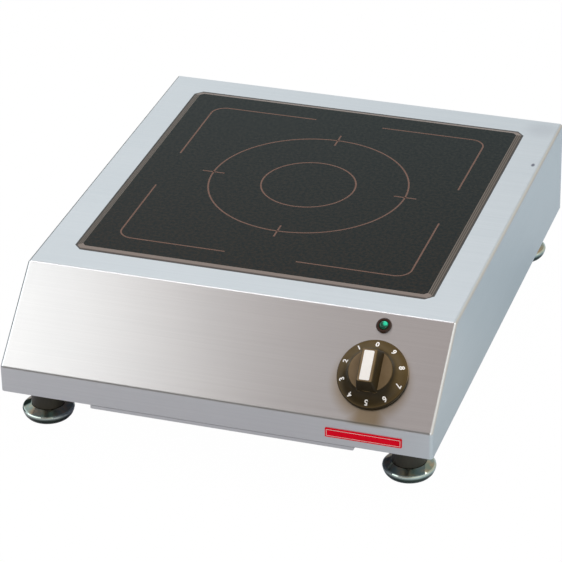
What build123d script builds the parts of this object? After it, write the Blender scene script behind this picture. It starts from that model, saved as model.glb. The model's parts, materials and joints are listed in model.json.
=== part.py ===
"""Table-top induction hob: a steel housing with a slanted control panel, a glass plate let into
its deck, the induction coil and its electronics inside, a fan that draws air through a grease
filter under the base, and four screw feet.

Millimetres. The origin is the middle of the footprint on the floor, +X to the right, +Y to the
back and +Z up. The control panel faces -Y.
"""
from build123d import *
import math
import os

os.makedirs("parts", exist_ok=True)

# ---- housing: driving dimensions ---------------------------------------------------------
width = 402.5
deck_depth = 400.0
panel_run = 77.5  # how far the control panel leans back
panel_drop = 67.5  # how far it comes down
band_height = 25.5  # upright strip below the panel
leg_height = 39.0  # floor to the housing's lower edge
sheet = 1.5
bend_radius = 3.2  # folds across the front
edge_radius = 3.2  # ground weld seams along the sides
flange = 12.0  # inward flanges round the bottom and the back

# ---- clearances --------------------------------------------------------------------------
fit_gap = 0.1  # a screw or spigot in its hole
run_gap = 0.05  # a shaft in its bearing, on the radius
part_gap = 0.3  # pieces that move past each other

# ---- glass -------------------------------------------------------------------------------
glass_side = 32.25  # steel left and right of the glass
glass_rear = 29.0
glass_thick = 6.0
glass_proud = 1.1  # its top above the deck
glass_corner = 6.5
glass_front = 33.0  # deck fold to the glass
bevel = 5.4
joint = 1.3  # silicone round the glass
bed = 1.0  # silicone under its rim
ledge = 13.0  # how far the carrier reaches under the glass
carrier_flange = 12.0

# ---- controls on the slanted panel ---------------------------------------------------------
control_inset = 63.2  # from the housing's right side
knob_up = 44.7  # from the panel's lower fold, along the slant
lamp_up = 90.7
knob_radius = 31.6
knob_lift = 1.0  # gap under the knob's rim
rim_height = 2.6
boss_radius = 19.8
boss_top = 13.0
grip_top = 28.0
grip_length = 30.6
grip_width = 14.4
grip_spread = 4.0  # how much wider and longer the grip is at its foot
grip_round = 1.2
dial_turn = 1.4  # the knob as it stands, seen from the front
insert_length = 27.0
insert_width = 9.0
insert_depth = 1.2
insert_proud = 0.3
hub_radius = 7.0
shaft_radius = 3.0
bushing_radius = 5.0
bushing_reach = 4.0
pot_radius = 14.0
pot_depth = 20.0
panel_nut_flats = 14.0
panel_nut_height = 2.5
lamp_radius = 7.0
lamp_height = 2.2
lamp_sleeve_radius = 5.0
lamp_sleeve_length = 14.0
lens_radius = 3.9

# ---- badge and plates -----------------------------------------------------------------------
badge_inset = 62.1  # its middle from the housing's right side
badge_width = 69.4
badge_height = 8.8
badge_down = 13.9  # its middle below the panel's lower fold
badge_thick = 0.9
plate_thick = 0.5
rating_x = -60.0
rating_up = 22.0
rating_width = 70.0
rating_height = 26.0

# ---- back: cable gland and bonding stud -----------------------------------------------------
gland_inset = 81.25  # from the housing's right side
gland_up = 28.0
gland_bore = 6.0
gland_thread = 10.0
gland_flats = 24.0
gland_reach = 22.0
gland_inside = 11.0
locknut_height = 5.0
stud_inset = 51.25  # from its left side
stud_up = 20.0
stud_radius = 3.0
stud_reach = 14.0

# ---- coil ----------------------------------------------------------------------------------
coil_back = 6.0  # its centre behind the glass's centre
coil_turns = 13
coil_inner = 30.0
coil_pitch = 5.4
wire_radius = 2.3
mica_thick = 1.0
mica_size = 250.0
tray_size = 226.0
tray_thick = 2.0
post_spread = 100.0
post_radius = 5.0
pin_radius = 3.0
spring_height = 20.0
spring_radius = 4.6
spring_wire = 0.7
ferrite_length = 56.0
ferrite_width = 15.0
ferrite_height = 5.0
sensor_radius = 8.0

# ---- power electronics -----------------------------------------------------------------------
board_width = 172.0
board_length = 196.0
board_thick = 1.6
standoff_height = 8.0
standoff_radius = 3.5
board_inset = 6.0
pcb_screw = 1.5
sink_width = 80.0
sink_length = 100.0
sink_foot = 6.0
sink_height = 40.0
sink_shelf = 28.0  # bare strip beside the fins, for the power devices
fin_count = 9
fin_thick = 2.0
cap_width = 26.0
cap_height = 37.0
cap_space = 6.0
terminal_inset = 24.0  # from the board's rear edge
lead_inset = 37.5
lead_pitch = 8.0
choke_radius = 19.0
choke_core = 9.0
choke_height = 16.0
tab_spread = 8.0  # each terminal tab from the middle of the pair
tab_width = 9.0
tab_height = 12.0
lead_rise = 30.0  # above the tabs
lead_stagger = 14.0
filter_board_width = 62.0
filter_board_length = 150.0
logic_width = 62.0
logic_length = 120.0
inductor_width = 40.0
inductor_length = 32.0
inductor_height = 28.0
inductor_forward = 40.0  # from the filter board's middle
class_x_length = 14.0
class_x_width = 32.0
class_x_height = 24.0
terminal_width = 40.0
terminal_length = 24.0
terminal_height = 20.0
terminal_back = 44.0
supply_width = 34.0
supply_length = 28.0
supply_height = 24.0
supply_forward = 34.0  # from the control board's middle
chip = 14.0
header_length = 30.0
header_width = 10.0
header_height = 9.0

# ---- fan -------------------------------------------------------------------------------------
fan_x = 6.0
fan_size = 92.0
fan_height = 25.0
fan_bore = 43.5
fan_screw_pitch = 82.5
fan_head = 3.6  # countersunk, flush under the base plate
hub_fan = 18.0
blade_count = 7
blade_chord = 21.0
blade_thick = 1.6
duct_wall = 1.5
duct_height = 58.0

# ---- grease filter under the base ------------------------------------------------------------
filter_x = 7.6
filter_width = 244.0
filter_length = 175.0
filter_frame = 9.0
filter_height = 2.9
filter_setback = 4.5  # its frame behind the front
apron_overlap = 0.75  # wider than the filter's frame at each side
apron_drop = 3.6  # its lower edge below the housing
apron_thick = 1.5
apron_round = 1.6
web_thick = 1.2
rail_thick = 1.2
rail_lip = 6.0
mesh_thick = 1.2

# ---- feet ------------------------------------------------------------------------------------
foot_inset_x = 30.3
foot_inset_y = 34.2
sleeve_radius = 15.3
sleeve_bottom = 13.0
spigot_radius = 9.0
foot_nut_flats = 26.0
foot_nut_height = 5.0
cup_radius = 23.9
cup_rim_height = 9.1
cup_base_radius = 20.8
stem_radius = 5.0
stem_top = 60.0
pad_radius = 18.0
pad_height = 2.6
pad_pin = 4.0

# ---- places worked out from them ------------------------------------------------------------
overall = badge_thick + panel_run + deck_depth + sheet + gland_reach
front_y = badge_thick - overall / 2
deck_y = front_y + panel_run
rear_y = deck_y + deck_depth
middle_y = (front_y + rear_y) / 2
depth = rear_y - front_y
base_z = leg_height
fold_z = base_z + band_height
deck_z = fold_z + panel_drop
slant = math.hypot(panel_run, panel_drop)
control_x = width / 2 - control_inset
badge_x = width / 2 - badge_inset
gland_x = width / 2 - gland_inset
stud_x = stud_inset - width / 2
glass_width = width - 2 * glass_side
glass_length = deck_depth - glass_front - glass_rear
glass_y = deck_y + glass_front + glass_length / 2
glass_top = deck_z + glass_proud
glass_under = glass_top - glass_thick
ledge_z = glass_under - bed
coil_y = glass_y + coil_back
mica_z = glass_under - mica_thick
wire_z = mica_z - part_gap - wire_radius
tray_z = wire_z - wire_radius - tray_thick
post_top = tray_z - spring_height
board_z = base_z + standoff_height
board_top = board_z + board_thick
fan_y = deck_y + fan_size / 2 - 8.0
filter_y = front_y + filter_setback + filter_length / 2
apron_width = filter_width + 2 * apron_overlap
under_z = base_z - sheet  # underside of the base plate
feet = {
    "front_left": (foot_inset_x - width / 2, front_y + foot_inset_y),
    "front_right": (width / 2 - foot_inset_x, front_y + foot_inset_y),
    "back_left": (foot_inset_x - width / 2, rear_y - foot_inset_y),
    "back_right": (width / 2 - foot_inset_x, rear_y - foot_inset_y),
}
flange_mid = sheet + flange / 2
base_screw_spots = [
    (side * (width / 2 - flange_mid), y)
    for side in (-1, 1)
    for y in (front_y + depth * 0.24, middle_y, rear_y - depth * 0.24)
]
rear_screw_spots = [
    (side * (width / 2 - flange_mid), z) for side in (-1, 1) for z in (base_z + 20, deck_z - 26)
]
post_spots = [(sx * post_spread, coil_y + sy * post_spread) for sx in (-1, 1) for sy in (-1, 1)]
board_centre = (0, coil_y)
board_spots = [
    (sx * (board_width / 2 - board_inset), coil_y + sy * (board_length / 2 - board_inset))
    for sx in (-1, 1)
    for sy in (-1, 1)
]
mains_centre = (
    width / 2 - 14 - filter_board_width / 2 - flange,
    rear_y - foot_inset_y - foot_nut_flats * 0.6 - filter_board_length / 2 - 2,
)
mains_spots = [
    (
        mains_centre[0] + sx * (filter_board_width / 2 - board_inset),
        mains_centre[1] + sy * (filter_board_length / 2 - board_inset),
    )
    for sx in (-1, 1)
    for sy in (-1, 1)
]
logic_centre = (-mains_centre[0], middle_y - 10)
logic_spots = [
    (
        logic_centre[0] + sx * (logic_width / 2 - board_inset),
        logic_centre[1] + sy * (logic_length / 2 - board_inset),
    )
    for sx in (-1, 1)
    for sy in (-1, 1)
]
fan_spots = [
    (fan_x + sx * fan_screw_pitch / 2, fan_y + sy * fan_screw_pitch / 2)
    for sx in (-1, 1)
    for sy in (-1, 1)
]


# ---- helpers ----------------------------------------------------------------------------------
def upright(x, y, z=0.0):
    """A plane at (x, y, z) facing the front, whose local Y is straight up."""
    return Plane(origin=(x, y, z), x_dir=(1, 0, 0), z_dir=(0, -1, 0))


def on_panel(x, up, out=0.0):
    """A plane lying on the slanted panel: up is along the slant, out is away from the steel."""
    face = Plane(
        origin=(0, front_y, fold_z),
        x_dir=(1, 0, 0),
        z_dir=(0, -panel_drop / slant, panel_run / slant),
    )
    return Plane(origin=face.from_local_coords((x, up, out)), x_dir=face.x_dir, z_dir=face.z_dir)


def standing_on(plane):
    """The plane through a panel plane's normal, for profiles turned about that normal."""
    return Plane(origin=plane.origin, x_dir=plane.x_dir, z_dir=-plane.y_dir)


def turned(plane, *corners, mode=Mode.ADD):
    """Turn a closed outline of (radius, height) corners about the plane's local Y."""
    with BuildSketch(plane) as outline:
        with BuildLine():
            Polyline(*corners, close=True)
        make_face()
    revolve(outline.sketch, axis=Axis(plane.origin, plane.y_dir), mode=mode)


def studs(spots, z, radius, height, mode=Mode.ADD):
    """Round studs, or holes, standing at the given (x, y) spots from height z up."""
    with BuildSketch(Plane.XY.offset(z)) as rounds:
        with Locations(*spots):
            Circle(radius)
    extrude(rounds.sketch, amount=height, mode=mode)


def block(x, y, z, size_x, size_y, size_z, mode=Mode.ADD):
    """A box standing on height z with its middle at (x, y)."""
    with BuildSketch(Plane((x, y, z))) as foot:
        Rectangle(size_x, size_y)
    extrude(foot.sketch, amount=size_z, mode=mode)


def glass_outline(z, grow):
    """The glass plate's outline with its cut corners, moved out by grow."""
    with BuildSketch(Plane((0, glass_y, z))) as outline:
        Rectangle(glass_width, glass_length)
        chamfer(outline.vertices(), glass_corner)
        if grow:
            offset(amount=grow, kind=Kind.INTERSECTION, mode=Mode.REPLACE)
    return outline.sketch


def lead(start_plane_points, radius, bend):
    """A round wire along hand-chosen points, with rounded corners."""
    with BuildLine() as route:
        FilletPolyline(*start_plane_points, radius=bend)
    with BuildSketch(Plane(origin=route.line @ 0, z_dir=route.line % 0)) as section:
        Circle(radius)
    sweep(section.sketch, path=route.line)


# ---- housing ------------------------------------------------------------------------------------
with BuildPart() as housing:
    with BuildSketch(Plane.YZ) as side_view:
        with BuildLine():
            Polyline(
                (front_y, base_z),
                (front_y, fold_z),
                (deck_y, deck_z),
                (rear_y, deck_z),
                (rear_y, base_z),
                close=True,
            )
        make_face()
    extrude(amount=width / 2, both=True)
    folds = housing.edges().filter_by(Axis.X)
    folds = folds.filter_by(lambda e: e.center().Z > base_z + 1 and e.center().Y < rear_y - 1)
    fillet(folds, bend_radius)
    seams = housing.edges().filter_by(lambda e: abs(abs(e.center().X) - width / 2) < 0.01)
    seams = seams.filter_by(lambda e: e.center().Z > base_z + 1 and e.center().Y < rear_y - 1)
    fillet(seams, edge_radius)
    with BuildSketch(Plane.YZ) as inside_view:
        add(side_view.sketch_local)
        offset(amount=-sheet, kind=Kind.INTERSECTION, mode=Mode.REPLACE)
    extrude(amount=width / 2 - sheet, both=True, mode=Mode.SUBTRACT)
    reach_in = sheet + flange
    block(0, middle_y, base_z, width - 2 * reach_in, depth - 2 * reach_in, sheet, Mode.SUBTRACT)
    with BuildSketch(upright(0, rear_y, (base_z + deck_z) / 2)):
        Rectangle(width - 2 * reach_in, deck_z - base_z - 2 * reach_in)
    extrude(amount=sheet, mode=Mode.SUBTRACT)
    extrude(glass_outline(deck_z - sheet, joint), amount=sheet, mode=Mode.SUBTRACT)
    studs(base_screw_spots, base_z, 2.0 + fit_gap, sheet, Mode.SUBTRACT)
    with BuildSketch(upright(0, rear_y)):
        with Locations(*rear_screw_spots):
            Circle(2.0 + fit_gap)
    extrude(amount=sheet, mode=Mode.SUBTRACT)
    with BuildSketch(on_panel(control_x, 0, -sheet)):
        with Locations((0, knob_up)):
            Circle(bushing_radius + fit_gap)
        with Locations((0, lamp_up)):
            Circle(lamp_sleeve_radius + fit_gap)
    extrude(amount=sheet, mode=Mode.SUBTRACT)

# ---- rear panel, base plate and their screws -------------------------------------------------------
with BuildPart() as rear_panel:
    panel_tall = deck_z - base_z - 6
    with BuildSketch(upright(0, rear_y + sheet, (base_z + deck_z) / 2)):
        RectangleRounded(width - 8, panel_tall, 3)
    extrude(amount=sheet)
    with BuildSketch(upright(0, rear_y + sheet, deck_z - flange - 26)):
        with GridLocations(11, 1, 17, 1):
            SlotOverall(30, 4.5, rotation=90)
    extrude(amount=sheet, mode=Mode.SUBTRACT)
    with BuildSketch(upright(0, rear_y + sheet)):
        with Locations(*rear_screw_spots):
            Circle(2.0 + fit_gap)
        with Locations((gland_x, base_z + gland_up)):
            Circle(gland_thread + fit_gap)
        with Locations((stud_x, base_z + stud_up)):
            Circle(stud_radius + fit_gap)
    extrude(amount=sheet, mode=Mode.SUBTRACT)

with BuildPart() as base_plate:
    block(0, middle_y, under_z, width - 8, depth - 8, sheet)
    fillet(base_plate.edges().filter_by(Axis.Z), 4)
    studs(base_screw_spots, under_z, 2.0 + fit_gap, sheet, Mode.SUBTRACT)
    studs(feet.values(), under_z, spigot_radius + fit_gap, sheet, Mode.SUBTRACT)
    for spot_x, spot_y in fan_spots:
        turned(
            upright(spot_x, spot_y),
            (0, under_z),
            (fan_head + fit_gap, under_z),
            (2.0 + fit_gap, under_z + sheet),
            (0, under_z + sheet),
            mode=Mode.SUBTRACT,
        )
    with BuildSketch(Plane((fan_x, fan_y, under_z))):
        for ring_radius in (12, 20, 28, 36):
            with PolarLocations(ring_radius, ring_radius // 2):
                Circle(2.6)
    extrude(amount=sheet, mode=Mode.SUBTRACT)

with BuildPart() as base_screws:
    studs(base_screw_spots, under_z, 2.0, 2 * sheet + 3)
    studs(base_screw_spots, under_z - 2.2, 3.6, 2.2)

with BuildPart() as rear_screws:
    with BuildSketch(upright(0, rear_y + sheet)):
        with Locations(*rear_screw_spots):
            Circle(2.0)
    extrude(amount=2 * sheet + 3)
    with BuildSketch(upright(0, rear_y + sheet + 2.2)):
        with Locations(*rear_screw_spots):
            Circle(3.6)
    extrude(amount=2.2)

# ---- glass, its silicone and its carrier -------------------------------------------------------------
with BuildPart() as glass_plate:
    extrude(glass_outline(glass_under, 0), amount=deck_z - glass_under)
    loft([glass_outline(deck_z, 0), glass_outline(glass_top, -bevel)], ruled=True)

with BuildPart() as glass_seal:
    extrude(glass_outline(ledge_z, joint), amount=deck_z - ledge_z)
    extrude(glass_outline(glass_under, 0), amount=deck_z - glass_under, mode=Mode.SUBTRACT)
    extrude(glass_outline(ledge_z, -ledge), amount=bed, mode=Mode.SUBTRACT)

with BuildPart() as glass_carrier:
    web = joint + sheet
    extrude(glass_outline(ledge_z - sheet, web), amount=deck_z - ledge_z)
    extrude(glass_outline(deck_z - 2 * sheet, web + carrier_flange), amount=sheet)
    extrude(glass_outline(ledge_z, joint), amount=deck_z - ledge_z, mode=Mode.SUBTRACT)
    extrude(glass_outline(ledge_z - sheet, -ledge), amount=sheet, mode=Mode.SUBTRACT)

# ---- badge and rating plate ---------------------------------------------------------------------------
with BuildPart() as badge:
    with BuildSketch(upright(badge_x, front_y, fold_z - badge_down)):
        RectangleRounded(badge_width, badge_height, 0.9)
    extrude(amount=badge_thick)

with BuildPart() as rating_plate:
    with BuildSketch(upright(rating_x, rear_y + sheet + plate_thick, base_z + rating_up)):
        RectangleRounded(rating_width, rating_height, 1.5)
    extrude(amount=plate_thick)

# ---- indicator lamp ---------------------------------------------------------------------------------------
lamp_axis = standing_on(on_panel(control_x, lamp_up))
with BuildPart() as lamp_bezel:
    turned(
        lamp_axis,
        (lens_radius + fit_gap, -lamp_sleeve_length),
        (lamp_sleeve_radius, -lamp_sleeve_length),
        (lamp_sleeve_radius, 0),
        (lamp_radius, 0),
        (lamp_radius, lamp_height - 0.9),
        (lamp_radius - 0.9, lamp_height),
        (lens_radius + 0.6, lamp_height),
        (lens_radius + fit_gap, lamp_height - 0.6),
    )

with BuildPart() as lamp_lens:
    turned(
        lamp_axis,
        (0, 1 - lamp_sleeve_length),
        (lens_radius, 1 - lamp_sleeve_length),
        (lens_radius, lamp_height + 1),
        (0, lamp_height + 1),
    )
    lens_rim = lamp_lens.faces().sort_by(Axis(lamp_axis.origin, lamp_axis.y_dir))[-1].edges()
    fillet(lens_rim, 1.6)

# ---- power regulator and its knob ------------------------------------------------------------------------
knob_axis = standing_on(on_panel(control_x, knob_up))
with BuildPart() as power_regulator:
    turned(
        knob_axis,
        (0, -sheet - pot_depth),
        (pot_radius, -sheet - pot_depth),
        (pot_radius, -sheet),
        (bushing_radius, -sheet),
        (bushing_radius, bushing_reach),
        (shaft_radius + run_gap, bushing_reach),
        (shaft_radius + run_gap, 2 - sheet - pot_depth),
        (0, 2 - sheet - pot_depth),
    )
    with BuildSketch(on_panel(control_x, knob_up, -sheet - pot_depth)):
        with Locations((-pot_radius - 2, 0)):
            Rectangle(8, 18)
    extrude(amount=4)

with BuildPart() as panel_nuts:
    for up, out, bore in (
        (knob_up, 0, bushing_radius),
        (lamp_up, -sheet - panel_nut_height, lamp_sleeve_radius),
    ):
        with BuildSketch(on_panel(control_x, up, out)):
            RegularPolygon(panel_nut_flats / 2, 6, major_radius=False)
            Circle(bore + run_gap, mode=Mode.SUBTRACT)
        extrude(amount=panel_nut_height)

hub_foot = bushing_reach + 1.0
with BuildPart() as knob_dial:
    with BuildSketch(knob_axis) as dial_half:
        with BuildLine():
            Line((0, hub_foot), (0, boss_top))
            Line((0, boss_top), (boss_radius - 0.6, boss_top))
            ThreePointArc(
                (boss_radius - 0.6, boss_top),
                (boss_radius - 0.1, boss_top - 0.25),
                (boss_radius + 0.2, boss_top - 0.8),
            )
            ThreePointArc(
                (boss_radius + 0.2, boss_top - 0.8),
                (boss_radius + (knob_radius - boss_radius) * 0.36, knob_lift + rim_height + 3.2),
                (knob_radius - 0.7, knob_lift + rim_height + 0.3),
            )
            Line((knob_radius - 0.7, knob_lift + rim_height + 0.3), (knob_radius, knob_lift + rim_height - 0.5))
            Line((knob_radius, knob_lift + rim_height - 0.5), (knob_radius, knob_lift))
            Line((knob_radius, knob_lift), (knob_radius - 2, knob_lift))
            Line((knob_radius - 2, knob_lift), (knob_radius - 5, knob_lift + 1.6))
            Line((knob_radius - 5, knob_lift + 1.6), (boss_radius - 2, boss_top - 7))
            Line((boss_radius - 2, boss_top - 7), (boss_radius - 3, boss_top - 3))
            Line((boss_radius - 3, boss_top - 3), (hub_radius, boss_top - 3))
            Line((hub_radius, boss_top - 3), (hub_radius, hub_foot))
            Line((hub_radius, hub_foot), (0, hub_foot))
        make_face()
    revolve(axis=Axis(knob_axis.origin, knob_axis.y_dir))
    with BuildSketch(on_panel(control_x, knob_up, boss_top - 2)) as grip_foot:
        foot_long = grip_length + 2 * grip_spread
        RectangleRounded(grip_width + grip_spread + 1, foot_long, 2, rotation=dial_turn)
    with BuildSketch(on_panel(control_x, knob_up, grip_top)) as grip_head:
        RectangleRounded(grip_width, grip_length, 2, rotation=dial_turn)
    loft([grip_foot.sketch, grip_head.sketch], ruled=True)
    top_rim = knob_dial.faces().sort_by(Axis(knob_axis.origin, knob_axis.y_dir))[-1].edges()
    fillet(top_rim, grip_round)
    with BuildSketch(on_panel(control_x, knob_up, grip_top - insert_depth)):
        RectangleRounded(insert_width, insert_length, 1, rotation=dial_turn)
    extrude(amount=insert_depth, mode=Mode.SUBTRACT)
    turned(
        knob_axis,
        (0, hub_foot),
        (shaft_radius + run_gap / 2, hub_foot),
        (shaft_radius + run_gap / 2, grip_top - 5),
        (0, grip_top - 5),
        mode=Mode.SUBTRACT,
    )

with BuildPart() as knob_insert:
    with BuildSketch(on_panel(control_x, knob_up, grip_top - insert_depth)):
        RectangleRounded(insert_width, insert_length, 1, rotation=dial_turn)
    extrude(amount=insert_depth + insert_proud)

with BuildPart() as knob_shaft:
    shaft_foot = 2 + part_gap - sheet - pot_depth
    turned(
        knob_axis,
        (0, shaft_foot),
        (shaft_radius, shaft_foot),
        (shaft_radius, grip_top - 5.5),
        (shaft_radius - 0.5, grip_top - 5),
        (0, grip_top - 5),
    )

# ---- cable gland and bonding stud -----------------------------------------------------------------------
gland_z = base_z + gland_up
with BuildPart() as cable_gland:
    with BuildSketch(upright(gland_x, rear_y + sheet + 8, gland_z)):
        RegularPolygon(gland_flats / 2, 6, major_radius=False)
    extrude(amount=8)
    with BuildSketch(upright(gland_x, rear_y + sheet + gland_reach, gland_z)):
        Circle(gland_flats / 2 - 1.5)
    extrude(amount=gland_reach - 8)
    fillet(cable_gland.faces().sort_by(Axis.Y)[-1].edges(), 3)
    with BuildSketch(upright(gland_x, rear_y + sheet, gland_z)):
        Circle(gland_thread)
    extrude(amount=sheet + gland_inside)
    with BuildSketch(upright(gland_x, rear_y + sheet + gland_reach, gland_z)):
        Circle(gland_bore)
    extrude(amount=gland_reach + sheet + gland_inside, mode=Mode.SUBTRACT)

with BuildPart() as gland_locknut:
    with BuildSketch(upright(gland_x, rear_y, gland_z)):
        RegularPolygon(gland_flats / 2 + 1, 6, major_radius=False)
        Circle(gland_thread + run_gap, mode=Mode.SUBTRACT)
    extrude(amount=locknut_height)

with BuildPart() as bonding_stud:
    with BuildSketch(upright(stud_x, rear_y + sheet + stud_reach, base_z + stud_up)):
        Circle(stud_radius)
    extrude(amount=stud_reach + 2 * sheet + 4)
    with BuildSketch(upright(stud_x, rear_y + sheet + 3, base_z + stud_up)):
        RegularPolygon(5, 6, major_radius=False)
    extrude(amount=3)

# ---- coil under the glass ---------------------------------------------------------------------------------
with BuildPart() as mica_sheet:
    block(0, coil_y, mica_z, mica_size, mica_size, mica_thick)
    fillet(mica_sheet.edges().filter_by(Axis.Z), 20)

with BuildPart() as coil_winding:
    with BuildLine(Plane((0, coil_y, wire_z))) as spiral:
        for half_turn in range(2 * coil_turns):
            turn_radius = coil_inner + coil_pitch * (half_turn + 0.5) / 2
            side = 1 if half_turn % 2 else -1
            shift = coil_pitch / 4 * side
            ThreePointArc(
                (shift - side * turn_radius, 0),
                (shift, -side * turn_radius),
                (shift + side * turn_radius, 0),
            )
    with BuildSketch(Plane(origin=spiral.line @ 0, z_dir=spiral.line % 0)):
        Circle(wire_radius)
    sweep(path=spiral.line)

with BuildPart() as coil_tray:
    block(0, coil_y, tray_z, tray_size, tray_size, tray_thick)
    fillet(coil_tray.edges().filter_by(Axis.Z), 14)
    studs(post_spots, tray_z, pin_radius + fit_gap, tray_thick, Mode.SUBTRACT)
    studs([(0, coil_y)], tray_z, 4 + fit_gap, tray_thick, Mode.SUBTRACT)

with BuildPart() as ferrite_bars:
    with BuildSketch(Plane((0, coil_y, tray_z - ferrite_height))):
        with PolarLocations(coil_inner + ferrite_length / 2 + 4, 8):
            Rectangle(ferrite_length, ferrite_width)
    extrude(amount=ferrite_height)

with BuildPart() as temperature_sensor:
    studs([(0, coil_y)], tray_z + tray_thick, sensor_radius, mica_z - tray_z - tray_thick)
    studs([(0, coil_y)], tray_z - 8, 4, tray_thick + 8)

with BuildPart() as coil_posts:
    studs(post_spots, base_z, post_radius, post_top - base_z)
    studs(post_spots, post_top, pin_radius, spring_height + tray_thick + 1.5)

with BuildPart() as coil_springs:
    rise = spring_height - 2 * spring_wire
    for spot_x, spot_y in post_spots:
        with BuildLine() as coil:
            Helix(rise / 5, rise, spring_radius, center=(spot_x, spot_y, post_top + spring_wire))
        with BuildSketch(Plane(origin=coil.line @ 0, z_dir=coil.line % 0)):
            Circle(spring_wire)
        sweep(path=coil.line, is_frenet=True)

# ---- power board and what stands on it -----------------------------------------------------------------------
all_spots = board_spots + mains_spots + logic_spots
with BuildPart() as board_standoffs:
    studs(all_spots, base_z, standoff_radius, standoff_height)
    studs(all_spots, base_z + 2, pcb_screw + fit_gap, standoff_height - 2, Mode.SUBTRACT)

with BuildPart() as board_screws:
    studs(all_spots, base_z + 3, pcb_screw, standoff_height - 3 + board_thick)
    studs(all_spots, board_top, 2.8, 2.0)

with BuildPart() as power_board:
    block(0, coil_y, board_z, board_width, board_length, board_thick)
    studs(board_spots, board_z, pcb_screw + fit_gap, board_thick, Mode.SUBTRACT)

sink_x = -20.0
with BuildPart() as heatsink:
    foot_width = sink_width + sink_shelf
    block(sink_x + sink_shelf / 2, coil_y, board_top, foot_width, sink_length, sink_foot)
    with BuildSketch(Plane((sink_x, coil_y, board_top + sink_foot))):
        with GridLocations((sink_width - fin_thick) / (fin_count - 1), 1, fin_count, 1):
            Rectangle(fin_thick, sink_length)
    extrude(amount=sink_height - sink_foot)

device_x = sink_x + (sink_width + sink_shelf) / 2
with BuildPart() as power_transistors:
    for along in (-30, 0):
        block(device_x, coil_y + along, board_top + sink_foot, 20, 16, 5)
        block(device_x, coil_y + along, board_top + sink_foot + 5, 12, 9, 1.2)

with BuildPart() as bridge_rectifier:
    block(device_x, coil_y + 34, board_top + sink_foot, 20, 30, 6)

choke_y = coil_y - board_length / 2 + choke_radius + 10
cap_x = board_width / 2 - cap_width / 2 - 2
cap_first = choke_y + choke_radius + cap_space + 1
cap_last = coil_y + board_length / 2 - lead_inset - lead_pitch - cap_space + 0.5
cap_length = (cap_last - cap_first - cap_space) / 2
with BuildPart() as film_capacitors:
    for cap_y in (cap_first + cap_length / 2, cap_last - cap_length / 2):
        block(cap_x, cap_y, board_top, cap_width, cap_length, cap_height)
    fillet(film_capacitors.edges().filter_by(Axis.Z), 2)

with BuildPart() as power_choke:
    turned(
        upright(board_width / 2 - choke_radius - 6, choke_y),
        (choke_core, board_top),
        (choke_radius, board_top),
        (choke_radius, board_top + choke_height),
        (choke_core, board_top + choke_height),
    )
    fillet(power_choke.edges().filter_by(GeomType.CIRCLE), 3)

with BuildPart() as coil_terminals:
    for side in (-1, 1):
        tab_x = cap_x + side * tab_spread
        block(tab_x, coil_y + board_length / 2 - terminal_inset, board_top, tab_width, 12, tab_height)

# ---- mains filter board and terminal block ---------------------------------------------------------------------
with BuildPart() as mains_board:
    block(*mains_centre, board_z, filter_board_width, filter_board_length, board_thick)
    studs(mains_spots, board_z, pcb_screw + fit_gap, board_thick, Mode.SUBTRACT)

with BuildPart() as mains_filter:
    inductor_y = mains_centre[1] - inductor_forward
    block(mains_centre[0], inductor_y, board_top, inductor_width, inductor_length, inductor_height)
    fillet(mains_filter.edges().filter_by(Axis.Z), 6)
    class_x_y = inductor_y + inductor_length / 2 + class_x_length / 2 + 21
    block(mains_centre[0], class_x_y, board_top, class_x_width, class_x_length, class_x_height)

with BuildPart() as terminal_block:
    terminal_y = mains_centre[1] + terminal_back
    block(mains_centre[0], terminal_y, board_top, terminal_width, terminal_length, terminal_height)
    with BuildSketch(Plane((mains_centre[0], terminal_y, board_top + terminal_height))):
        with GridLocations(terminal_width * 0.3, terminal_length / 2, 3, 2):
            Circle(3)
    extrude(amount=-6, mode=Mode.SUBTRACT)

# ---- control board -----------------------------------------------------------------------------------------------
with BuildPart() as control_board:
    block(*logic_centre, board_z, logic_width, logic_length, board_thick)
    studs(logic_spots, board_z, pcb_screw + fit_gap, board_thick, Mode.SUBTRACT)

with BuildPart() as control_parts:
    supply_y = logic_centre[1] - supply_forward
    header_x = logic_centre[0] + logic_width / 2 - header_width - 3
    header_y = logic_centre[1] + supply_forward
    block(logic_centre[0], supply_y, board_top, supply_width, supply_length, supply_height)
    block(logic_centre[0], logic_centre[1] + 6, board_top, chip, chip, 2)
    block(header_x, header_y, board_top, header_width, header_length, header_height)

# ---- fan, its screws and the air duct ------------------------------------------------------------------------------
with BuildPart() as fan_frame:
    block(fan_x, fan_y, base_z, fan_size, fan_size, fan_height)
    fillet(fan_frame.edges().filter_by(Axis.Z), 5)
    studs([(fan_x, fan_y)], base_z, fan_bore, fan_height, Mode.SUBTRACT)
    with BuildSketch(Plane((fan_x, fan_y, base_z))):
        with PolarLocations(fan_bore / 2 + 1, 4, start_angle=45):
            Rectangle(fan_bore + 1, 5)
        Circle(hub_fan - 1)
    extrude(amount=4)
    studs([(fan_x, fan_y)], base_z + 4, 5, 6)
    studs([(fan_x, fan_y)], base_z + 1.5, 1.5 + run_gap, 10, Mode.SUBTRACT)
    studs(fan_spots, base_z, 2.0 + fit_gap, fan_height, Mode.SUBTRACT)

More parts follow.
